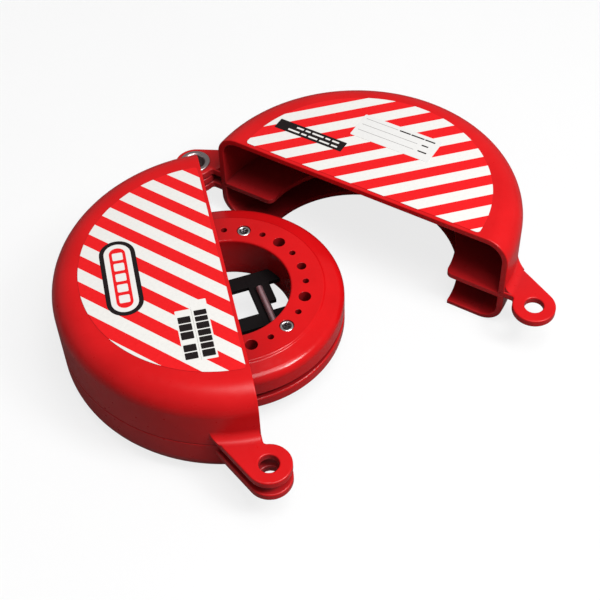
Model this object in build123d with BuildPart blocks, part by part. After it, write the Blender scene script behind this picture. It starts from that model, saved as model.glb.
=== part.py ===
"""Clamshell lockout for gate valve handwheels: two hinged half shells round a turning stem ring.

Millimetres, +Z up. The origin is on the axis of the closed shells, in the plane they stand on.
The left half is the fixed one. The right half is stored swung open about the hinge eyelet.
"""

import math
import os

from build123d import *

os.makedirs("parts", exist_ok=True)

# Closed shells
shell_radius = 93.3
shell_height = 63.5
wall = 3.6
top_thickness = 3.8
base_thickness = 3.0
shoulder_radius = 14.0
base_corner_radius = 14.0
base_opening_radius = 60.0
parting_gap = 0.4
seam_height = 27.0
seam_chamfer = 0.6
cut_edge_radius = 0.6

# Track plate that the stem ring turns on, clamped between the upper and lower shells
track_depth = 6.4
track_thickness = 3.0
track_below_seam = 1.5
track_corner_radius = 4.0
track_clearance = 0.5
track_seat = 1.2
seat_clearance = 0.1

# Ears: two on one half and one on the other, at the hinge end and again at the padlock end
pivot_reach = 18.05
ear_radius = 11.9
ear_thickness = 4.6
ear_gap = 0.7
ear_below_seam = 1.3
ear_flank_angle = 16.0
ear_neck_radius = 2.0
ear_edge_radius = 0.8
ear_blend_radius = 5.0
padlock_hole_radius = 5.25
open_angle = 46.7

# Hinge eyelet
eyelet_bore_radius = 5.8
eyelet_wall = 1.0
eyelet_flange_radius = 9.1
eyelet_flange_thickness = 1.0
washer_thickness = 0.8
running_clearance = 0.05

# Stem ring
ring_bore_radius = 34.6
ring_radius = 63.9
ring_height = 26.8
ring_below_seam = 12.0
ring_shoulder_drop = 3.5
ring_step_width = 18.1
ring_step = 1.0
ring_wall = 3.0
ring_turn = 6.93
hole_circle_inset = 8.4
hole_count = 24
hole_depth = 10.0
small_hole_radius = 1.75
medium_hole_radius = 2.6
large_hole_radius = 3.4
boss_wall = 1.6

# Ring screws
screw_radius = 2.0
screw_clearance = 0.2
screw_head_radius = 3.75
screw_head_height = 2.2
screw_length = 25.1
cross_length = 4.4
cross_width = 1.0
cross_depth = 1.2

# Frame across the bore of the stem ring, and the steel pin on it
frame_thickness = 2.8
rail_width = 9.1
rail_spacing = 29.7
bar_width = 8.0
bar_spacing = 36.8
bar_lug_width = 4.0
bar_lug_length = 13.8
bar_lug_middle = 3.35
pin_radius = 1.9
pin_offset = 19.7
pin_start = 7.1
pin_sink = 0.8
pin_socket_depth = 2.0

# Labels
label_thickness = 0.25
label_margin = 1.8
label_centre = 3.5
label_edge = 2.2
label_corner_radius = 2.0
panel_width = 19.4
panel_length = 50.3
panel_inset = 20.4
panel_thickness = 0.15

# Heights and radii that follow from the values above
inner_radius = shell_radius - wall
track_top = seam_height - track_below_seam
track_bottom = track_top - track_thickness
track_inner_radius = ring_radius - track_depth
track_outer_radius = inner_radius + track_seat
pivot_distance = shell_radius + pivot_reach
ear_middle = seam_height - ear_below_seam
ear_pitch = ear_thickness + ear_gap
ear_root_radius = shell_radius - wall / 2
ear_bore_radius = eyelet_bore_radius + eyelet_wall + running_clearance
upper_ear_top = ear_middle + ear_pitch + ear_thickness / 2
lower_ear_bottom = ear_middle - ear_pitch - ear_thickness / 2
ring_bottom = seam_height - ring_below_seam
ring_top = ring_bottom + ring_height
ring_step_radius = ring_bore_radius + ring_step_width
hole_circle_radius = ring_bore_radius + hole_circle_inset
groove_bottom = track_bottom - track_clearance
groove_top = track_top + track_clearance
groove_radius = track_inner_radius - track_clearance
cavity_inner_radius = ring_bore_radius + ring_wall
cavity_outer_radius = groove_radius - ring_wall
cavity_top = ring_top - ring_step - ring_wall
frame_top = groove_bottom + frame_thickness
pin_height = frame_top + pin_radius - pin_sink
pin_end = -math.sqrt(ring_bore_radius**2 - pin_offset**2) - pin_socket_depth
rail_offset = rail_spacing / 2
bar_offset = bar_spacing / 2
label_radius = shell_radius - shoulder_radius - label_centre - label_margin
panel_x = label_centre + label_radius - panel_inset - panel_width / 2
hinge_axis = Axis((0, pivot_distance, 0), (0, 0, 1))

PADLOCK_END, HINGE_END = -1, 1
EAR_HOLES = {PADLOCK_END: padlock_hole_radius, HINGE_END: ear_bore_radius}
EAR_LEVELS = {
    PADLOCK_END: [ear_middle - ear_pitch, ear_middle + ear_pitch],
    HINGE_END: [ear_middle],
}
cut_plane = -parting_gap / 2


def save(part, name):
    """Label a finished piece and write it to its own file."""
    part.label = name
    export_step(part, f"parts/{name}.step")


def placed(part, half):
    """Halves are built on the left. The right one is turned round, then swung open."""
    if half == "left":
        return part
    return part.rotate(Axis.Z, 180).rotate(hinge_axis, open_angle)


def turned(part):
    """The stem ring is built square to the axes and stored turned in its track."""
    return part.rotate(Axis.Z, ring_turn)


def stays_sharp(point):
    """Whether an edge of a cut face is one where the track plate is let in, or the opening's."""
    at_track = track_bottom - 0.1 < point.Z < seam_height + 0.1 and abs(point.Y) < ear_root_radius
    at_opening = abs(abs(point.Y) - base_opening_radius) < 0.1
    return at_track or at_opening


def ear(end, middle, hole_radius):
    """A flat ear: a round end on the parting plane and a neck flush with the cut face."""
    pivot = (0, end * pivot_distance)
    flank = math.radians(ear_flank_angle)
    root = ear_root_radius - 1
    with BuildPart() as lug:
        with BuildSketch(Plane.XY.offset(middle - ear_thickness / 2)) as plan:
            with Locations(pivot):
                Circle(ear_radius)
            with Locations((-root * math.sin(flank), end * root * math.cos(flank)), (0, end * root)):
                Circle(0.5)
            make_hull()
            with Locations((cut_plane + shell_radius, 0)):
                Rectangle(2 * shell_radius, 4 * shell_radius, mode=Mode.SUBTRACT)
            with Locations(pivot):
                Circle(ear_radius)
                Circle(hole_radius, mode=Mode.SUBTRACT)
            Circle(ear_root_radius, mode=Mode.SUBTRACT)
            on_cut = plan.vertices().filter_by(lambda v: abs(v.X - cut_plane) < 0.01)
            fillet(on_cut.sort_by(lambda v: abs(v.Y))[-1], radius=ear_neck_radius)
        extrude(amount=ear_thickness)
        rims = lug.edges().filter_by(Plane.XY)
        outline = rims.filter_by(lambda e: math.hypot((e @ 0.5).X, (e @ 0.5).Y) > shell_radius)
        fillet(outline, radius=ear_edge_radius)
    return lug.part


def ear_blend(end, middle):
    """Concave blend between an ear's top face and the round wall above it."""
    base = middle + ear_thickness / 2
    reach = shell_radius + ear_blend_radius
    with BuildPart() as blend:
        with BuildSketch(Plane.XZ):
            with BuildLine():
                Line((ear_root_radius, base), (reach, base))
                RadiusArc((reach, base), (shell_radius, base + ear_blend_radius), ear_blend_radius)
                Line((shell_radius, base + ear_blend_radius), (ear_root_radius, base + ear_blend_radius))
                Line((ear_root_radius, base + ear_blend_radius), (ear_root_radius, base))
            make_face()
        revolve(axis=Axis.Z)
        with BuildSketch(Plane.XY.offset(base)):
            flank = math.radians(ear_flank_angle)
            foot = (-shell_radius * math.sin(flank), end * shell_radius * math.cos(flank))
            tip = (ear_edge_radius - ear_radius, end * pivot_distance)
            edge = cut_plane - ear_edge_radius
            with BuildLine():
                Polyline((edge, end * inner_radius), foot, tip, (edge, end * pivot_distance), close=True)
            make_face()
        extrude(amount=ear_blend_radius, mode=Mode.INTERSECT)
    return blend.part


def upper_shell(holes):
    """Domed cover: top plate, shoulder and wall down to the seam, with its ears."""
    lip = track_outer_radius - seat_clearance
    with BuildPart() as shell:
        with BuildSketch(Plane.XZ):
            with BuildLine():
                FilletPolyline(
                    (0, shell_height),
                    (shell_radius, shell_height),
                    (shell_radius, seam_height + seam_chamfer),
                    (shell_radius - seam_chamfer, seam_height),
                    (lip, seam_height),
                    (lip, track_top),
                    (inner_radius, track_top),
                    (inner_radius, shell_height - top_thickness),
                    (0, shell_height - top_thickness),
                    radius=[0, shoulder_radius, 0, 0, 0, 0, 0, shoulder_radius - wall, 0],
                    close=True,
                )
            make_face()
        revolve(axis=Axis.Z)
        split(bisect_by=Plane.YZ.offset(cut_plane), keep=Keep.BOTTOM)
        cut_edges = shell.faces().filter_by(Axis.X).edges()
        fillet(cut_edges.filter_by(lambda e: not stays_sharp(e @ 0.5)), radius=cut_edge_radius)
        for end, levels in EAR_LEVELS.items():
            add(ear(end, levels[-1], holes[end]))
            add(ear_blend(end, levels[-1]))
    return shell.part


def lower_shell(holes):
    """Base ring with the wall up to the seam, let in for the track plate and the lone ear."""
    with BuildPart() as shell:
        with BuildSketch(Plane.XZ):
            with BuildLine():
                FilletPolyline(
                    (base_opening_radius, 0),
                    (shell_radius, 0),
                    (shell_radius, seam_height - seam_chamfer),
                    (shell_radius - seam_chamfer, seam_height),
                    (track_outer_radius, seam_height),
                    (track_outer_radius, track_bottom),
                    (inner_radius, track_bottom),
                    (inner_radius, base_thickness),
                    (base_opening_radius, base_thickness),
                    radius=[0, base_corner_radius, 0, 0, 0, 0, 0, base_corner_radius - wall, 0],
                    close=True,
                )
            make_face()
        revolve(axis=Axis.Z)
        split(bisect_by=Plane.YZ.offset(cut_plane), keep=Keep.BOTTOM)
        cut_edges = shell.faces().filter_by(Axis.X).edges()
        fillet(cut_edges.filter_by(lambda e: not stays_sharp(e @ 0.5)), radius=cut_edge_radius)
        add(ear(PADLOCK_END, EAR_LEVELS[PADLOCK_END][0], holes[PADLOCK_END]))
        add(ear(HINGE_END, EAR_LEVELS[HINGE_END][0], holes[HINGE_END]), mode=Mode.SUBTRACT)
    return shell.part


def track_plate():
    """Half ring that stands in from the wall and carries the groove of the stem ring."""
    with BuildPart() as plate:
        with BuildSketch(Plane.XY.offset(track_bottom)):
            Circle(track_outer_radius)
            Circle(track_inner_radius, mode=Mode.SUBTRACT)
            with Locations((cut_plane + shell_radius, 0)):
                Rectangle(2 * shell_radius, 2 * shell_radius, mode=Mode.SUBTRACT)
        extrude(amount=track_thickness)
        corners = plate.edges().filter_by(Axis.Z).group_by(lambda e: math.hypot(e.center().X, e.center().Y))
        fillet(corners[0], radius=track_corner_radius)
    return plate.part


def label():
    """Printed film on the top plate: a round segment that stops short of the cut face."""
    with BuildPart() as film:
        with BuildSketch(Plane.XY.offset(shell_height)) as outline:
            with Locations((-label_centre, 0)):
                Circle(label_radius)
            with Locations((shell_radius - label_edge, 0)):
                Rectangle(2 * shell_radius, 2 * shell_radius, mode=Mode.SUBTRACT)
            fillet(outline.vertices(), radius=label_corner_radius)
        extrude(amount=label_thickness)
    return film.part


# Both halves are the same mouldings but for the ear holes, which change ends with the half
for half, turn in (("left", 1), ("right", -1)):
    holes = {end: EAR_HOLES[turn * end] for end in (PADLOCK_END, HINGE_END)}
    save(placed(upper_shell(holes), half), f"{half}_upper_shell")
    save(placed(lower_shell(holes), half), f"{half}_lower_shell")
    save(placed(track_plate(), half), f"{half}_track_plate")
    save(placed(label(), half), f"{half}_label")

# Matt writing panel stuck over the right label
with BuildPart() as writing_panel:
    with BuildSketch(Plane.XY.offset(shell_height + label_thickness)):
        with Locations((-panel_x, 0)):
            RectangleRounded(panel_width, panel_length, 1)
    extrude(amount=panel_thickness)
save(placed(writing_panel.part, "right"), "writing_panel")

# Tubular steel eyelet through the three hinge ears, its rims rolled over the top ear and the washer
eyelet_radius = eyelet_bore_radius + eyelet_wall
eyelet_bottom = lower_ear_bottom - washer_thickness - eyelet_flange_thickness
with BuildPart() as hinge_eyelet:
    with BuildSketch(Plane.XY.offset(eyelet_bottom)):
        with Locations((0, pivot_distance)):
            Circle(eyelet_radius)
    extrude(amount=upper_ear_top + eyelet_flange_thickness - eyelet_bottom)
    for rim in (eyelet_bottom, upper_ear_top):
        with BuildSketch(Plane.XY.offset(rim)):
            with Locations((0, pivot_distance)):
                Circle(eyelet_flange_radius)
        extrude(amount=eyelet_flange_thickness)
    with BuildSketch(Plane.XY.offset(eyelet_bottom)):
        with Locations((0, pivot_distance)):
            Circle(eyelet_bore_radius)
    extrude(amount=eyelet_bottom + upper_ear_top, mode=Mode.SUBTRACT)
    rims = hinge_eyelet.edges().filter_by(GeomType.CIRCLE).group_by(Axis.Z)
    fillet(rims[0] + rims[-1], radius=eyelet_flange_thickness * 0.6)
save(hinge_eyelet.part, "hinge_eyelet")

with BuildPart() as hinge_washer:
    with BuildSketch(Plane.XY.offset(lower_ear_bottom - washer_thickness)):
        with Locations((0, pivot_distance)):
            Circle(eyelet_flange_radius)
            Circle(ear_bore_radius, mode=Mode.SUBTRACT)
    extrude(amount=washer_thickness)
save(hinge_washer.part, "hinge_washer")


def hole_radius(index):
    """Pattern of the ring's holes, which repeats every eighth hole."""
    return {0: medium_hole_radius, 2: large_hole_radius, 6: large_hole_radius}.get(
        index % 8, small_hole_radius
    )


hole_step = 360 / hole_count
screw_angles = [hole_step * index for index in range(hole_count) if index % 8 == 4]
socket_angles = {index: hole_step * index for index in range(hole_count) if index % 8 != 4}

# Upper half of the stem ring: a cored moulding with sockets round its top face
with BuildPart() as ring_upper:
    with BuildSketch(Plane.XZ):
        with BuildLine():
            FilletPolyline(
                (ring_bore_radius, groove_bottom),
                (groove_radius, groove_bottom),
                (groove_radius, groove_top),
                (ring_radius, groove_top),
                (ring_radius, ring_top - ring_shoulder_drop),
                (ring_step_radius + ring_step, ring_top - ring_step),
                (ring_step_radius, ring_top),
                (ring_bore_radius, ring_top),
                radius=[0, 0, 0.8, 0.8, 5, 0.6, 0.6, 1.2],
                close=True,
            )
        make_face()
    revolve(axis=Axis.Z)
    with BuildSketch(Plane.XY.offset(groove_bottom)):
        Circle(cavity_outer_radius)
        Circle(cavity_inner_radius, mode=Mode.SUBTRACT)
    extrude(amount=cavity_top - groove_bottom, mode=Mode.SUBTRACT)
    for index, angle in socket_angles.items():
        with BuildSketch(Plane.XY.offset(ring_top - hole_depth - boss_wall)):
            with PolarLocations(hole_circle_radius, 1, start_angle=angle):
                Circle(hole_radius(index) + boss_wall)
        extrude(amount=cavity_top - ring_top + hole_depth + boss_wall)
    with BuildSketch(Plane.XY.offset(groove_bottom)):
        with PolarLocations(hole_circle_radius, len(screw_angles), start_angle=screw_angles[0]):
            Circle(screw_head_radius + screw_clearance + boss_wall)
    extrude(amount=cavity_top - groove_bottom)
    for index, angle in socket_angles.items():
        with BuildSketch(Plane.XY.offset(ring_top - hole_depth)):
            with PolarLocations(hole_circle_radius, 1, start_angle=angle):
                Circle(hole_radius(index))
        extrude(amount=hole_depth, mode=Mode.SUBTRACT)
    with BuildSketch(Plane.XY.offset(groove_bottom)):
        with PolarLocations(hole_circle_radius, len(screw_angles), start_angle=screw_angles[0]):
            Circle(screw_radius + screw_clearance)
    extrude(amount=ring_top - groove_bottom, mode=Mode.SUBTRACT)
    with BuildSketch(Plane.XY.offset(ring_top - screw_head_height - screw_clearance)):
        with PolarLocations(hole_circle_radius, len(screw_angles), start_angle=screw_angles[0]):
            Circle(screw_head_radius + screw_clearance)
    extrude(amount=ring_top, mode=Mode.SUBTRACT)
    with BuildSketch(Plane.XY.offset(groove_bottom)):
        with Locations((0, -rail_offset), (0, rail_offset)):
            Rectangle(2 * cavity_inner_radius, rail_width + 2 * screw_clearance)
        Circle(cavity_inner_radius + screw_clearance, mode=Mode.INTERSECT)
    extrude(amount=frame_thickness + screw_clearance, mode=Mode.SUBTRACT)
    with BuildSketch(Plane.XZ):
        with Locations((pin_offset, pin_height)):
            Circle(pin_radius)
    extrude(amount=-pin_end, mode=Mode.SUBTRACT)
save(turned(ring_upper.part), "stem_ring_upper")

# Lower half of the stem ring: a flanged ring, open underneath, with three screw bosses
web_bottom = groove_bottom - ring_wall
with BuildPart() as ring_lower:
    with BuildSketch(Plane.XZ):
        with BuildLine():
            FilletPolyline(
                (ring_bore_radius, ring_bottom),
                (cavity_inner_radius, ring_bottom),
                (cavity_inner_radius, web_bottom),
                (ring_radius - ring_wall, web_bottom),
                (ring_radius - ring_wall, ring_bottom),
                (ring_radius, ring_bottom),
                (ring_radius, groove_bottom),
                (ring_bore_radius, groove_bottom),
                radius=[0.8, 0, 1, 1, 0, 1.4, 0.8, 0],
                close=True,
            )
        make_face()
    revolve(axis=Axis.Z)
    with BuildSketch(Plane.XY.offset(ring_bottom)):
        with PolarLocations(hole_circle_radius, len(screw_angles), start_angle=screw_angles[0]):
            Circle(screw_radius + boss_wall)
    extrude(amount=ring_wall + web_bottom - ring_bottom)
    with BuildSketch(Plane.XY.offset(ring_bottom)):
        with PolarLocations(hole_circle_radius, len(screw_angles), start_angle=screw_angles[0]):
            Circle(screw_radius)
    extrude(amount=groove_bottom - ring_bottom, mode=Mode.SUBTRACT)
save(turned(ring_lower.part), "stem_ring_lower")

# Three cross-recessed screws that hold the two halves of the stem ring together
screw_head_bottom = ring_top - screw_head_height - screw_clearance
screw_head_top = ring_top - screw_clearance
with BuildPart() as ring_screws:
    with BuildSketch(Plane.XY.offset(screw_head_bottom)):
        with PolarLocations(hole_circle_radius, len(screw_angles), start_angle=screw_angles[0]):
            Circle(screw_head_radius)
    extrude(amount=screw_head_height)
    fillet(ring_screws.edges().group_by(Axis.Z)[-1], radius=screw_head_height / 4)
    with BuildSketch(Plane.XY.offset(screw_head_top - screw_length)):
        with PolarLocations(hole_circle_radius, len(screw_angles), start_angle=screw_angles[0]):
            Circle(screw_radius)
    extrude(amount=screw_length - screw_head_height)
    with BuildSketch(Plane.XY.offset(screw_head_top - cross_depth)):
        with PolarLocations(hole_circle_radius, len(screw_angles), start_angle=screw_angles[0]):
            Rectangle(cross_length, cross_width)
            Rectangle(cross_width, cross_length)
    extrude(amount=cross_depth, mode=Mode.SUBTRACT)
save(turned(ring_screws.part), "ring_screws")

# Frame across the bore: two rails clamped between the ring halves, and two bars halved over them
for end, place in ((-1, "front"), (1, "rear")):
    with BuildPart() as rail:
        with BuildSketch(Plane.XY.offset(groove_bottom)):
            with Locations((0, end * rail_offset)):
                Rectangle(2 * cavity_inner_radius, rail_width)
            Circle(cavity_inner_radius - screw_clearance, mode=Mode.INTERSECT)
        extrude(amount=frame_thickness)
        with BuildSketch(Plane.XY.offset(groove_bottom + frame_thickness / 2)):
            with Locations((-bar_offset, end * rail_offset), (bar_offset, end * rail_offset)):
                Rectangle(bar_width, 2 * rail_width)
        extrude(amount=frame_thickness, mode=Mode.SUBTRACT)
    save(turned(rail.part), f"stem_rail_{place}")

rail_outside = rail_offset + rail_width / 2
for side, place in ((-1, "left"), (1, "right")):
    with BuildPart() as bar:
        with BuildSketch(Plane.XY.offset(groove_bottom)):
            with Locations((side * bar_offset, 0)):
                Rectangle(bar_width, 2 * rail_outside)
            with Locations((side * (bar_offset + (bar_width + bar_lug_width) / 2), side * bar_lug_middle)):
                Rectangle(bar_lug_width, bar_lug_length)
        extrude(amount=frame_thickness)
        with BuildSketch(Plane.XY.offset(groove_bottom)):
            with Locations((side * bar_offset, -rail_offset), (side * bar_offset, rail_offset)):
                Rectangle(2 * bar_width, rail_width)
        extrude(amount=frame_thickness / 2, mode=Mode.SUBTRACT)
        with BuildSketch(Plane.XZ.offset(-pin_start)):
            with Locations((pin_offset, pin_height)):
                Circle(pin_radius)
        extrude(amount=pin_start + rail_outside, mode=Mode.SUBTRACT)
    save(turned(bar.part), f"stem_bar_{place}")

# Steel pin that lies in the right bar, its end in the wall of the ring
with BuildPart() as stem_pin:
    with BuildSketch(Plane.XZ.offset(-pin_start)):
        with Locations((pin_offset, pin_height)):
            Circle(pin_radius)
    extrude(amount=pin_start - pin_end)
    chamfer(stem_pin.edges().group_by(Axis.Y)[-1], length=pin_radius / 5)
save(turned(stem_pin.part), "stem_pin")
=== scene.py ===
import math

import bmesh
import bpy
from mathutils import Matrix, Vector


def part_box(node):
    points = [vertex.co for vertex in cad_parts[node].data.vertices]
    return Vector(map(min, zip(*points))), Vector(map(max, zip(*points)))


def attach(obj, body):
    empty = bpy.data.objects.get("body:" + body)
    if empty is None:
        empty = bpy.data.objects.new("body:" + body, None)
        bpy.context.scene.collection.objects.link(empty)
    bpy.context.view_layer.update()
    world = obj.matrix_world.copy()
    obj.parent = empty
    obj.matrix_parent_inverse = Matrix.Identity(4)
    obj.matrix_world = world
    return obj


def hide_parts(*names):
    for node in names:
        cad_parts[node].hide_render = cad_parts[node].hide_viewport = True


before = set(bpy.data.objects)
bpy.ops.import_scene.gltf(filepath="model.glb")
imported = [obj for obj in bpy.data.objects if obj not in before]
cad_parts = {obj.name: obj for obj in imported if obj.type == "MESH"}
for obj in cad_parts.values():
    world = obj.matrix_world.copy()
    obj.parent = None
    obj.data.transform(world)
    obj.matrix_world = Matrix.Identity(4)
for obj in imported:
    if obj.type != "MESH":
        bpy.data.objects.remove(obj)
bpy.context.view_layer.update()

# Shells and track plates: red ABS, injection moulded in a lightly textured tool.
# Each half is a domed cover bonded to a base ring, with a track plate let in between them.
# The colour drifts a little over a hand's width and thin edges are rounded. Recesses and creases get
# painted shade, because the base colour is darkened there.
MM = 0.001
scene = bpy.context.scene

# A Mix node names its colour sockets like its number sockets, so they go by their place in it.
MIX_FIRST, MIX_SECOND, MIX_RESULT = 6, 7, 2


def linear(hex_colour):
    """An sRGB hex colour as the linear RGBA that a socket takes."""
    channels = [int(hex_colour[i : i + 2], 16) / 255 for i in (1, 3, 5)]
    return (*(c / 12.92 if c <= 0.04045 else ((c + 0.055) / 1.055) ** 2.4 for c in channels), 1.0)


def add_node(tree, kind, inputs=None, **settings):
    """Add a node, set its properties, and set or link its inputs."""
    node = tree.nodes.new(kind)
    for name, value in settings.items():
        setattr(node, name, value)
    for socket, value in (inputs or {}).items():
        if isinstance(value, bpy.types.NodeSocket):
            tree.links.new(value, node.inputs[socket])
        else:
            node.inputs[socket].default_value = value
    return node


def start_material(name):
    """A new material: itself, its tree, its shader and the coordinates that travel with a piece."""
    material = bpy.data.materials.new(name)
    material.use_nodes = True
    tree = material.node_tree
    place = add_node(tree, "ShaderNodeTexCoord").outputs["Object"]
    return material, tree, tree.nodes["Principled BSDF"], place


def join(tree, value, shader, socket):
    tree.links.new(value, shader.inputs[socket])


def moulded_abs(name, colours, painted_shade_colour, roughness, edge_radius, grain_depth):
    """ABS as it leaves the tool: a thin gloss over fine grain and slow sink marks.

    Painted shade: the base colour is darkened in recesses and along creases, where light has to come
    off other red walls.
    """
    grain_size, sink_size, tone_size, scuff_size = 0.7 * MM, 11 * MM, 34 * MM, 3.5 * MM
    recess_reach, crease_reach = 55 * MM, 2.5 * MM
    material, tree, shader, place = start_material(name)
    tone = add_node(
        tree,
        "ShaderNodeTexNoise",
        {"Vector": place, "Scale": 1 / tone_size, "Detail": 4.0, "Roughness": 0.6},
    )
    tone_spread = add_node(
        tree,
        "ShaderNodeMapRange",
        {"Value": tone.outputs["Fac"], "From Min": 0.35, "From Max": 0.65},
    )
    colour = add_node(
        tree,
        "ShaderNodeMix",
        {
            "Factor": tone_spread.outputs["Result"],
            MIX_FIRST: linear(colours[0]),
            MIX_SECOND: linear(colours[1]),
        },
        data_type="RGBA",
    )
    # Painted shade: occlusion over a long and a short reach darkens the base colour towards the shade
    # colour.
    recess = add_node(
        tree, "ShaderNodeAmbientOcclusion", {"Distance": recess_reach}, samples=12
    )
    crease = add_node(
        tree, "ShaderNodeAmbientOcclusion", {"Distance": crease_reach}, samples=8
    )
    crease_unshaded = add_node(
        tree,
        "ShaderNodeMapRange",
        {"Value": crease.outputs["AO"], "From Min": 0.3, "From Max": 0.95, "To Min": 0.45},
    )
    recess_unshaded = add_node(
        tree,
        "ShaderNodeMapRange",
        {"Value": recess.outputs["AO"], "From Min": 0.15, "From Max": 0.9},
    )
    unshaded_share = add_node(
        tree,
        "ShaderNodeMath",
        {0: recess_unshaded.outputs["Result"], 1: crease_unshaded.outputs["Result"]},
        operation="MULTIPLY",
    )
    colour_with_painted_shade = add_node(
        tree,
        "ShaderNodeMix",
        {
            "Factor": unshaded_share.outputs["Value"],
            MIX_FIRST: linear(painted_shade_colour),
            MIX_SECOND: colour.outputs[MIX_RESULT],
        },
        data_type="RGBA",
    )
    join(tree, colour_with_painted_shade.outputs[MIX_RESULT], shader, "Base Color")
    scuffs = add_node(
        tree,
        "ShaderNodeTexNoise",
        {"Vector": place, "Scale": 1 / scuff_size, "Detail": 6.0, "Roughness": 0.7},
    )
    dullness = add_node(
        tree,
        "ShaderNodeMapRange",
        {
            "Value": scuffs.outputs["Fac"],
            "From Min": 0.3,
            "From Max": 0.7,
            "To Min": roughness[0],
            "To Max": roughness[1],
        },
    )
    join(tree, dullness.outputs["Result"], shader, "Roughness")
    rounded = add_node(tree, "ShaderNodeBevel", {"Radius": edge_radius}, samples=6)
    sink = add_node(
        tree, "ShaderNodeTexNoise", {"Vector": place, "Scale": 1 / sink_size, "Detail": 1.0}
    )
    waves = add_node(
        tree,
        "ShaderNodeBump",
        {
            "Height": sink.outputs["Fac"],
            "Strength": 0.25,
            "Distance": 0.25 * MM,
            "Normal": rounded.outputs["Normal"],
        },
    )
    grain = add_node(
        tree,
        "ShaderNodeTexNoise",
        {"Vector": place, "Scale": 1 / grain_size, "Detail": 2.0},
    )
    skin = add_node(
        tree,
        "ShaderNodeBump",
        {
            "Height": grain.outputs["Fac"],
            "Strength": 0.35,
            "Distance": grain_depth,
            "Normal": waves.outputs["Normal"],
        },
    )
    join(tree, skin.outputs["Normal"], shader, "Normal")
    shader.inputs["IOR"].default_value = 1.53
    shader.inputs["Specular IOR Level"].default_value = 0.26
    return material


def finish_node(name, material):
    """Give a CAD node its finish."""
    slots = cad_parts[name].data.materials
    slots.clear()
    slots.append(material)


# The third colour is the painted shade laid into recesses and creases.
shell_abs = moulded_abs(
    "ABS, moulded, satin", ("#CC1216", "#C10D11"), "#8C2226", (0.26, 0.36), 0.5 * MM, 0.02 * MM
)
for half in ("left", "right"):
    for piece in ("upper_shell", "lower_shell", "track_plate"):
        finish_node(f"{half}_{piece}", shell_abs)

# Stem ring: the same red ABS from a polished tool, two mouldings screwed together.
# It turns in the track, so its rims are burnished and catch the light more than the shells do.
# As on the shells, the third colour is the painted shade laid into recesses and creases.
ring_abs = moulded_abs(
    "ABS, moulded, polished", ("#CA0F13", "#BF0C10"), "#7C1418", (0.14, 0.24), 0.5 * MM, 0.01 * MM
)
for piece in ("stem_ring_upper", "stem_ring_lower"):
    finish_node(piece, ring_abs)

# Printed films: red vinyl with white diagonal bands, one on the top plate of each half.
# A clear laminate over the ink gives the films a flatter, wider shine than the moulding has.
def printed_film(name, colours, roughness):
    """Laminated ink on vinyl: a faint mottle from the press and a slight ripple from the glue."""
    mottle_size, ripple_size = 1.6 * MM, 14 * MM
    material, tree, shader, place = start_material(name)
    mottle = add_node(
        tree,
        "ShaderNodeTexNoise",
        {"Vector": place, "Scale": 1 / mottle_size, "Detail": 5.0, "Roughness": 0.65},
    )
    spread = add_node(
        tree,
        "ShaderNodeMapRange",
        {"Value": mottle.outputs["Fac"], "From Min": 0.3, "From Max": 0.7},
    )
    ink = add_node(
        tree,
        "ShaderNodeMix",
        {
            "Factor": spread.outputs["Result"],
            MIX_FIRST: linear(colours[0]),
            MIX_SECOND: linear(colours[1]),
        },
        data_type="RGBA",
    )
    join(tree, ink.outputs[MIX_RESULT], shader, "Base Color")
    haze = add_node(
        tree,
        "ShaderNodeMapRange",
        {
            "Value": mottle.outputs["Fac"],
            "To Min": roughness[0],
            "To Max": roughness[1],
        },
    )
    join(tree, haze.outputs["Result"], shader, "Roughness")
    ripple = add_node(
        tree, "ShaderNodeTexNoise", {"Vector": place, "Scale": 1 / ripple_size, "Detail": 2.0}
    )
    surface = add_node(
        tree,
        "ShaderNodeBump",
        {"Height": ripple.outputs["Fac"], "Strength": 0.2, "Distance": 0.3 * MM},
    )
    join(tree, surface.outputs["Normal"], shader, "Normal")
    shader.inputs["IOR"].default_value = 1.5
    shader.inputs["Specular IOR Level"].default_value = 0.2
    return material


film_red = printed_film("vinyl film, red ink, laminated", ("#DE1B1F", "#D51519"), (0.32, 0.42))
film_white = printed_film("vinyl film, white, laminated", ("#DEDCD8", "#D6D4D0"), (0.32, 0.42))
ink_black = printed_film("vinyl film, black ink, laminated", ("#171112", "#1E1718"), (0.3, 0.4))

eyelet_low, eyelet_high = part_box("hinge_eyelet")
hinge = (eyelet_low + eyelet_high) / 2
swing = math.radians(46.7)
to_hinge = Matrix.Translation((hinge.x, hinge.y, 0))
opened = to_hinge @ Matrix.Rotation(swing, 4, "Z") @ to_hinge.inverted()
HALVES = {"left": Matrix.Identity(4), "right": opened}
band_period = 21.055 * MM
band_start = {"left": 52.42 * MM, "right": 49.10 * MM}
band_reach = 9


def new_piece(name, mesh, body, materials):
    """Link a mesh as a piece that moves with a body."""
    piece = bpy.data.objects.new(name, mesh)
    scene.collection.objects.link(piece)
    for material in materials:
        mesh.materials.append(material)
    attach(piece, body)
    return piece


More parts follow.
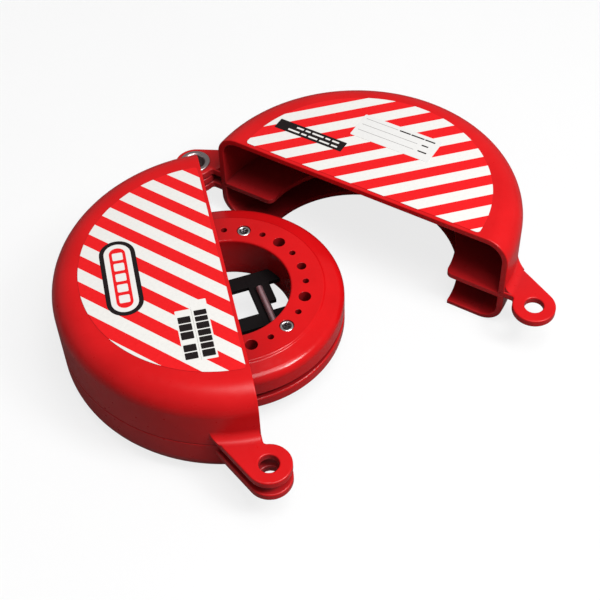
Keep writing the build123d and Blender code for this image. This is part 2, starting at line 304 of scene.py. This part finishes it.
def banded_film(half):
    """Cut the film along the edges of its diagonal bands and ink every other band white."""
    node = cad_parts[f"{half}_label"]
    mesh = node.data.copy()
    mesh.materials.clear()
    cut = bmesh.new()
    cut.from_mesh(mesh)
    place = HALVES[half]
    across = (place.to_3x3() @ Vector((1, 1, 0))).normalized()
    start = place @ Vector((band_start[half], 0, 0))
    step = band_period / 2 / math.sqrt(2)
    for band in range(-2 * band_reach, 2 * band_reach):
        bmesh.ops.bisect_plane(
            cut,
            geom=cut.verts[:] + cut.edges[:] + cut.faces[:],
            plane_co=start + across * step * band,
            plane_no=across,
        )
    for face in cut.faces:
        run = (face.calc_center_median() - start).dot(across) / step
        on_top = face.normal.z > 0.5
        face.material_index = 1 if on_top and run % 2 < 1 else 0
    cut.to_mesh(mesh)
    cut.free()
    piece = new_piece(f"{half}_banded_film", mesh, f"{half}_half", (film_red, film_white))
    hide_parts(f"{half}_label")


for half in HALVES:
    banded_film(half)

# Printed marks: a plain framed badge and a block notice on the left film, a strip on the right.
# They are further passes of ink, each one standing a few hundredths of a millimetre proud.
# Where such a film carries words, these have plain blocks.
ink_thickness = 0.03 * MM
film_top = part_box("left_label")[1].z


def rounded_outline(centre, size, radius):
    """Corners of a rounded rectangle, anticlockwise."""
    steps = 8
    half_x, half_y = size[0] / 2 - radius, size[1] / 2 - radius
    corners = (
        (half_x, half_y, 0),
        (-half_x, half_y, 90),
        (-half_x, -half_y, 180),
        (half_x, -half_y, 270),
    )
    points = []
    for x, y, turn in corners:
        for step in range(steps + 1):
            angle = math.radians(turn + 90 * step / steps)
            points.append(
                (
                    centre[0] + x + radius * math.cos(angle),
                    centre[1] + y + radius * math.sin(angle),
                )
            )
    return points


def printed_block(bm, centre, size, radius, layer, base):
    """One block of ink with its edges, lying on the layers below it."""
    points = [(x * MM, y * MM) for x, y in rounded_outline(centre, size, radius)]
    top = [bm.verts.new((x, y, base + (layer + 1) * ink_thickness)) for x, y in points]
    foot = [bm.verts.new((x, y, base + layer * ink_thickness)) for x, y in points]
    bm.faces.new(top)
    bm.faces.new(foot[::-1])
    for i in range(len(points)):
        j = (i + 1) % len(points)
        bm.faces.new((top[j], top[i], foot[i], foot[j]))


def printed_piece(name, half, blocks, layer, material, base=film_top):
    """A pass of ink: several blocks in one colour. Blocks are centre, size and corner radius."""
    bm = bmesh.new()
    for centre, size, radius in blocks:
        printed_block(bm, centre, size, radius, layer, base)
    bm.transform(HALVES[half])
    mesh = bpy.data.meshes.new(name)
    bm.to_mesh(mesh)
    bm.free()
    piece = new_piece(name, mesh, f"{half}_half", (material,))
    return piece


# Places and sizes of the marks are in millimetres, with each half closed and seen from above.
badge = (-54.9, 0.5)
badge_layers = (
    ("border", (19.4, 53.5), ink_black),
    ("ring", (14.4, 48.5), film_white),
    ("core", (8.8, 42.9), film_red),
)
flat_left = 0.01
for layer, (part, size, ink) in enumerate(badge_layers):
    round_end = size[0] / 2 - flat_left
    printed_piece(f"badge_{part}", "left", [(badge, size, round_end)], layer, ink)
bar_size, bar_step, bar_corner = (5.6, 5.4), 7.6, 0.8
badge_bars = [
    ((badge[0], badge[1] + bar_step * place), bar_size, bar_corner) for place in range(-2, 3)
]
printed_piece("badge_bars", "left", badge_bars, len(badge_layers), film_white)

# The notice is two white columns side by side, each given by its place across and its length.
notice_foot, notice_margin, notice_corner = -63.8, 1.2, 0.4
patch_width, patch_overhang = 8.6, 0.2
patch_columns = ((-27.0, 34.4), (-18.5, 39.6))
notice_patch = [
    ((x, notice_foot - patch_overhang + length / 2), (patch_width, length), notice_corner)
    for x, length in patch_columns
]
printed_piece("notice_patch", "left", notice_patch, 0, film_white)

# Its blocks stand in two rows, each given by its place across and the widths along it.
word_gap, block_gap, block_height, block_corner = 2.8, 0.7, 6.6, 0.5
notice_rows = (
    (-27.2, (5.0, 5.2, None, 5.6, 5.2, 5.0)),
    (-18.4, (5.2, 4.4, 4.2, 4.6, 5.0, 4.0, 4.2)),
)
notice_blocks = []
for row, widths in notice_rows:
    reach = notice_foot + notice_margin
    for width in widths:
        if width:
            block = (block_height, width - block_gap)
            notice_blocks.append(((row, reach + width / 2), block, block_corner))
        reach += width or word_gap
printed_piece("notice_blocks", "left", notice_blocks, 1, ink_black)

strip, strip_size, strip_corner = (25.9, 44.6), (8.2, 44.2), 0.4
printed_piece("strip_ground", "right", [(strip, strip_size, strip_corner)], 0, ink_black)

# The strip's dashes are rows too: place across the strip, start along it, and widths.
dash_height, dash_gap, dash_corner = 1.25, 1.3, 0.3
dash_rows = (
    (-1.7, -18.6, (4, 6.5, 6, 3.4, 7.5)),
    (1.7, -18.0, (4.5, 3.2, 7.4, 3.2, 4.6)),
)
strip_dashes = []
for row, start, widths in dash_rows:
    reach = strip[1] + start
    for width in widths:
        dash = ((strip[0] + row, reach + width / 2), (dash_height, width), dash_corner)
        strip_dashes.append(dash)
        reach += width + dash_gap
printed_piece("strip_dashes", "right", strip_dashes, 1, film_white)

# Writing panel: matt white film that takes a marker, stuck over the bands of the right half.
# Three ruled lines are printed on it in grey, each with a short dark block for its heading.
panel_film = printed_film("writing film, matt coated", ("#D8D7D5", "#D2D1CF"), (0.6, 0.75))
rule_grey = printed_film("grey ink on writing film", ("#8F8C8C", "#9C9998"), (0.5, 0.6))
finish_node("writing_panel", panel_film)
panel_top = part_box("writing_panel")[1].z

# Each row holds its rule's place across and length, then its heading's place, start and widths.
panel_middle, rule_start = 47.4, 23.0
rule_width, rule_corner = 0.35, 0.1
heading_height, heading_gap, heading_corner = 1.0, 0.5, 0.2
panel_rows = (
    (6.6, 21.0, 6.6, 22.0, (7.0, 8.4, 6.4)),
    (1.4, 36.0, 1.6, 38.6, (4.2,)),
    (-3.8, 36.0, -3.6, 38.6, (5.6,)),
)
rules, headings = [], []
for rule_row, rule_length, heading_row, heading_start, widths in panel_rows:
    rule_centre = (panel_middle + rule_row, rule_start - rule_length / 2)
    rules.append((rule_centre, (rule_width, rule_length), rule_corner))
    reach = rule_start - heading_start
    for width in widths:
        heading_centre = (panel_middle + heading_row, reach - width / 2)
        headings.append((heading_centre, (heading_height, width), heading_corner))
        reach -= width + heading_gap
printed_piece("panel_rules", "right", rules, 0, rule_grey, panel_top)
printed_piece("panel_headings", "right", headings, 0, ink_black, panel_top)

# Hinge eyelet: a nickel-plated steel tube set through the three ears, with both rims rolled over.
# Rolling leaves a rounded collar that funnels into the bore, with fine rings from the tool.
def worked_steel(name, colours, roughness, line_size, stretch):
    """Bright steel. Lines from the tool run one way and break up what the surface reflects."""
    smear_size = 2.4 * MM
    material, tree, shader, place = start_material(name)
    shader.inputs["Metallic"].default_value = 1.0
    lines = add_node(
        tree,
        "ShaderNodeMapping",
        {"Vector": place, "Scale": tuple(s / line_size for s in stretch)},
    )
    streaks = add_node(
        tree,
        "ShaderNodeTexNoise",
        {"Vector": lines.outputs["Vector"], "Scale": 1.0, "Detail": 3.0},
    )
    smears = add_node(
        tree,
        "ShaderNodeTexNoise",
        {"Vector": place, "Scale": 1 / smear_size, "Detail": 4.0},
    )
    colour = add_node(
        tree,
        "ShaderNodeMix",
        {
            "Factor": smears.outputs["Fac"],
            MIX_FIRST: linear(colours[0]),
            MIX_SECOND: linear(colours[1]),
        },
        data_type="RGBA",
    )
    join(tree, colour.outputs[MIX_RESULT], shader, "Base Color")
    dullness = add_node(
        tree,
        "ShaderNodeMapRange",
        {
            "Value": streaks.outputs["Fac"],
            "From Min": 0.3,
            "From Max": 0.7,
            "To Min": roughness[0],
            "To Max": roughness[1],
        },
    )
    join(tree, dullness.outputs["Result"], shader, "Roughness")
    surface = add_node(
        tree,
        "ShaderNodeBump",
        {"Height": streaks.outputs["Fac"], "Strength": 0.3, "Distance": 0.03 * MM},
    )
    join(tree, surface.outputs["Normal"], shader, "Normal")
    return material


nickel_plate = worked_steel(
    "steel, nickel plated, rolled", ("#C9BCBD", "#B3A6A6"), (0.26, 0.42), 0.4 * MM, (0.2, 0.2, 1.0)
)


def lathe(name, profile, centre, segments=96):
    """Turn a closed profile of radius and height round an upright axis."""
    bm = bmesh.new()
    rings = []
    for i in range(segments):
        angle = 2 * math.pi * i / segments
        rings.append(
            [
                bm.verts.new((centre.x + r * math.cos(angle), centre.y + r * math.sin(angle), z))
                for r, z in profile
            ]
        )
    for i in range(segments):
        here, there = rings[i], rings[(i + 1) % segments]
        for j in range(len(profile)):
            k = (j + 1) % len(profile)
            bm.faces.new((here[j], there[j], there[k], here[k]))
    bmesh.ops.recalc_face_normals(bm, faces=bm.faces)
    mesh = bpy.data.meshes.new(name)
    bm.to_mesh(mesh)
    bm.free()
    mesh.shade_smooth()
    return mesh


def arc(centre, radius, start, end, steps):
    """Points of an arc in the profile plane, both ends included."""
    return [
        (
            centre[0] + radius[0] * math.cos(math.radians(start + (end - start) * i / steps)),
            centre[1] + radius[1] * math.sin(math.radians(start + (end - start) * i / steps)),
        )
        for i in range(steps + 1)
    ]


flange_radius = (eyelet_high.x - eyelet_low.x) / 2
flange = 1.0 * MM
bore = 5.8 * MM
tube = 6.8 * MM
curl = 0.55 * MM
funnel = 1.7 * MM
roll_top = arc((flange_radius - curl, eyelet_high.z - curl), (curl, curl), -90, 90, 8)
roll_top[0] = (flange_radius - curl, eyelet_high.z - flange)
mouth_top = arc((bore + funnel, eyelet_high.z - funnel), (funnel, funnel), 90, 180, 10)
mouth_low = arc((bore + funnel, eyelet_low.z + funnel), (funnel, funnel), 180, 270, 10)
roll_low = arc((flange_radius - curl, eyelet_low.z + curl), (curl, curl), -90, 90, 8)
roll_low[-1] = (flange_radius - curl, eyelet_low.z + flange)
eyelet_profile = (
    [(tube, eyelet_high.z - flange)]
    + roll_top
    + mouth_top
    + mouth_low
    + roll_low
    + [(tube, eyelet_low.z + flange)]
)
eyelet = new_piece(
    "rolled_eyelet", lathe("rolled_eyelet", eyelet_profile, hinge), "right_half", (nickel_plate,)
)
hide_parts("hinge_eyelet")
finish_node("hinge_washer", nickel_plate)

# Ring screws: three zinc-plated self-tapping screws with pan heads, sunk into the stem ring.
# The rim of each head is bright. The dished cross recess punched into it is dark from a darker copy of
# the zinc plate, which is painted shade.
# They sit in three places of the ring's circle of holes and turn with it.
zinc_plate = worked_steel(
    "steel, zinc plated, headed", ("#EDEBEB", "#DAD6D6"), (0.22, 0.38), 0.5 * MM, (1.0, 1.0, 1.0)
)
# A darker copy of the zinc plate for the cross recess: painted shade, since the plating there is the
# same.
recess_painted_shade = worked_steel(
    "steel, zinc plated, painted shade", ("#2A2526", "#8A8284"), (0.25, 0.4), 0.4 * MM, (1.0, 1.0, 1.0)
)
screw_low, screw_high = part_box("ring_screws")
head_radius, head_rim, head_height = 3.75 * MM, 1.0 * MM, 2.2 * MM
shank_radius, dish_radius, dish_depth = 2.0 * MM, 2.7 * MM, 0.35 * MM
wing_reach, wing_width, wing_depth = 2.3 * MM, 0.62 * MM, 1.3 * MM
rim_drop, dish_slope, wing_slope, wing_flank = 0.55 * MM, 0.25 * MM, 0.9 * MM, 0.18 * MM
tip_chamfer = 0.5 * MM
screw_circle, screw_lead = 43.0 * MM, math.radians(6.93)


def head_surface(radius, angle):
    """Height of a head's top below its crown: rounded rim, shallow dish and cross recess."""
    if radius > head_radius - head_rim:
        fall = (radius - head_radius + head_rim) / head_rim
        return rim_drop * (1 - math.sqrt(max(0.0, 1 - fall * fall)))
    drop = 0.0
    if radius < dish_radius:
        drop = dish_depth * min(1.0, (dish_radius - radius) / dish_slope)
    for quarter in range(4):
        along = radius * math.cos(angle - quarter * math.pi / 2)
        aside = abs(radius * math.sin(angle - quarter * math.pi / 2))
        if along > -0.01 * MM and aside < wing_width:
            slope = min(1.0, max(0.0, (wing_reach - along) / wing_slope))
            side = min(1.0, (wing_width - aside) / wing_flank)
            drop = max(drop, dish_depth + (wing_depth - dish_depth) * slope * side)
    return drop


def pan_head_screw(name, centre, turn):
    """One screw: a head whose top is a fine polar grid, over a plain shank with a chamfered end."""
    rings, segments = 34, 96
    bm = bmesh.new()
    top = screw_high.z
    angles = [2 * math.pi * j / segments for j in range(segments)]
    loops = []
    for i in range(rings):
        radius = head_radius * (i + 1) / rings
        loops.append([(radius, angle, top - head_surface(radius, angle)) for angle in angles])
    tail = [
        (head_radius, top - head_height),
        (shank_radius, top - head_height),
        (shank_radius, screw_low.z + tip_chamfer),
        (shank_radius - tip_chamfer, screw_low.z),
    ]
    for radius, height in tail:
        loops.append([(radius, angle, height) for angle in angles])
    grid = [
        [bm.verts.new((r * math.cos(a + turn), r * math.sin(a + turn), z)) for r, a, z in loop]
        for loop in loops
    ]
    crown = bm.verts.new((0, 0, top - head_surface(0, 0)))
    foot = bm.verts.new((0, 0, screw_low.z))
    for j in range(segments):
        k = (j + 1) % segments
        bm.faces.new((crown, grid[0][j], grid[0][k]))
        bm.faces.new((foot, grid[-1][k], grid[-1][j]))
        for inner, outer in zip(grid, grid[1:]):
            bm.faces.new((inner[j], outer[j], outer[k], inner[k]))
    # Faces inside the dish take the dark copy of the zinc plate, which is painted shade.
    for face in bm.faces:
        middle = face.calc_center_median()
        in_dish = math.hypot(middle.x, middle.y) < dish_radius - 0.2 * MM
        face.material_index = 1 if in_dish and middle.z > top - head_height else 0
        face.smooth = abs(middle.z - top) > dish_depth * 0.5 or not in_dish
    bm.transform(Matrix.Translation(centre))
    mesh = bpy.data.meshes.new(name)
    bm.to_mesh(mesh)
    bm.free()
    piece = new_piece(name, mesh, "stem_ring", (zinc_plate, recess_painted_shade))
    return piece


screw_bearings_and_turns = ((60, 0.4), (180, 1.1), (300, 0.9))
for number, (bearing, turn) in enumerate(screw_bearings_and_turns, start=1):
    angle = math.radians(bearing) + screw_lead
    centre = Vector((screw_circle * math.cos(angle), screw_circle * math.sin(angle), 0))
    pan_head_screw(f"ring_screw_{number}", centre, turn)
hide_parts("ring_screws")

# Stem frame: two rails and two bars of black glass-filled nylon, halved over each other.
# They carry no load from the stem and are moulded matt, so they read as nearly black.
def moulded_nylon(name, colours, roughness):
    """Glass-filled nylon: a matt skin with the fibres just showing as a fleck."""
    fleck_size = 1.2 * MM
    material, tree, shader, place = start_material(name)
    fleck = add_node(
        tree,
        "ShaderNodeTexNoise",
        {"Vector": place, "Scale": 1 / fleck_size, "Detail": 5.0, "Roughness": 0.7},
    )
    colour = add_node(
        tree,
        "ShaderNodeMix",
        {
            "Factor": fleck.outputs["Fac"],
            MIX_FIRST: linear(colours[0]),
            MIX_SECOND: linear(colours[1]),
        },
        data_type="RGBA",
    )
    join(tree, colour.outputs[MIX_RESULT], shader, "Base Color")
    dullness = add_node(
        tree,
        "ShaderNodeMapRange",
        {"Value": fleck.outputs["Fac"], "To Min": roughness[0], "To Max": roughness[1]},
    )
    join(tree, dullness.outputs["Result"], shader, "Roughness")
    rounded = add_node(tree, "ShaderNodeBevel", {"Radius": 0.3 * MM}, samples=6)
    skin = add_node(
        tree,
        "ShaderNodeBump",
        {
            "Height": fleck.outputs["Fac"],
            "Strength": 0.4,
            "Distance": 0.04 * MM,
            "Normal": rounded.outputs["Normal"],
        },
    )
    join(tree, skin.outputs["Normal"], shader, "Normal")
    shader.inputs["IOR"].default_value = 1.53
    shader.inputs["Specular IOR Level"].default_value = 0.12
    return material


black_nylon = moulded_nylon("nylon, glass filled, moulded", ("#0C0809", "#141011"), (0.45, 0.65))
for piece in ("stem_rail_front", "stem_rail_rear", "stem_bar_left", "stem_bar_right"):
    finish_node(piece, black_nylon)

# Stem pin: a short length of ground steel rod pressed into the right bar.
# Grinding leaves lines round it. Its base colour is tinted pink, which is a painted reflection of the
# red ring beside it.
ground_steel = worked_steel(
    "steel, ground, bare", ("#EBC6CB", "#C9A2A9"), (0.4, 0.55), 0.3 * MM, (0.3, 1.0, 0.3)
)
finish_node("stem_pin", ground_steel)

# Bench and studio: a white board that isn't part of the lockout, soft lamps and the camera.
# The board glows softly from within, which whitens its shadows, and its glow isn't cast on the
# lockout. A key box stands high at the front right, a wide box overhead, and the room is dim and even.
lockout_middle = Vector((0.03, 0.0, 0.03))


def area_light(name, place, size, power):
    """A soft box that points at the middle of the lockout. Its power is in watts."""
    data = bpy.data.lights.new(name, "AREA")
    data.shape = "RECTANGLE"
    data.size, data.size_y = size
    data.energy = power
    lamp = bpy.data.objects.new(name, data)
    scene.collection.objects.link(lamp)
    lamp.location = place
    lamp.rotation_euler = (lockout_middle - Vector(place)).to_track_quat("-Z", "Y").to_euler()


area_light("key_box", (0.56, -0.43, 0.85), (0.3, 0.3), 8.6)
area_light("overhead_box", (0.25, -0.35, 1.25), (0.7, 0.7), 9.6)

room = bpy.data.worlds.new("room")
room.use_nodes = True
room.node_tree.nodes["Background"].inputs["Color"].default_value = linear("#FFFFFF")
room.node_tree.nodes["Background"].inputs["Strength"].default_value = 0.25
scene.world = room

# The board reaches far enough for its edge to stay out of sight from a low viewpoint.
bench_size = 30.0
bench_mesh = bpy.data.meshes.new("bench")
bench_mesh.from_pydata(
    [(x * bench_size, y * bench_size, 0) for x, y in ((-1, -1), (1, -1), (1, 1), (-1, 1))],
    [],
    [(0, 1, 2, 3)],
)
bench = bpy.data.objects.new("bench", bench_mesh)
scene.collection.objects.link(bench)
bench_board, tree, shader, place = start_material("acrylic board, opal, backlit")
board_tone = add_node(tree, "ShaderNodeTexNoise", {"Vector": place, "Scale": 6.0, "Detail": 3.0})
board_colour = add_node(
    tree,
    "ShaderNodeMix",
    {
        "Factor": board_tone.outputs["Fac"],
        MIX_FIRST: linear("#E8E8E8"),
        MIX_SECOND: linear("#E5E5E5"),
    },
    data_type="RGBA",
)
join(tree, board_colour.outputs[MIX_RESULT], shader, "Emission Color")
shader.inputs["Emission Strength"].default_value = 1.0
shader.inputs["Base Color"].default_value = linear("#5E5E5E")
shader.inputs["Roughness"].default_value = 0.8
shader.inputs["Specular IOR Level"].default_value = 0.1
bench_mesh.materials.append(bench_board)
lit_by_bench = bpy.data.collections.new("lit_by_bench")
lit_by_bench.objects.link(bench)
bench.light_linking.receiver_collection = lit_by_bench

# Camera: a short telephoto lens that looks down at the open lockout from its padlock side,
# level but for a slight tilt of the frame.
lens_length = 75.8
camera_distance = 650.0 * MM
camera_target = Vector((33.07 * MM, -37.14 * MM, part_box("left_upper_shell")[1].z))
azimuth, elevation, roll = (math.radians(a) for a in (-10.605, 49.209, -2.537))
back = Vector(
    (
        math.sin(azimuth) * math.cos(elevation),
        -math.cos(azimuth) * math.cos(elevation),
        math.sin(elevation),
    )
)
level = Vector((math.cos(azimuth), math.sin(azimuth), 0.0))
upright = back.cross(level)
right = level * math.cos(roll) + upright * math.sin(roll)
up = upright * math.cos(roll) - level * math.sin(roll)
camera_data = bpy.data.cameras.new("camera")
camera_data.lens = lens_length
camera = bpy.data.objects.new("camera", camera_data)
scene.collection.objects.link(camera)
turn = Matrix((right, up, back)).transposed().to_4x4()
camera.matrix_world = Matrix.Translation(camera_target + back * camera_distance) @ turn
scene.camera = camera
scene.view_settings.view_transform = "Standard"
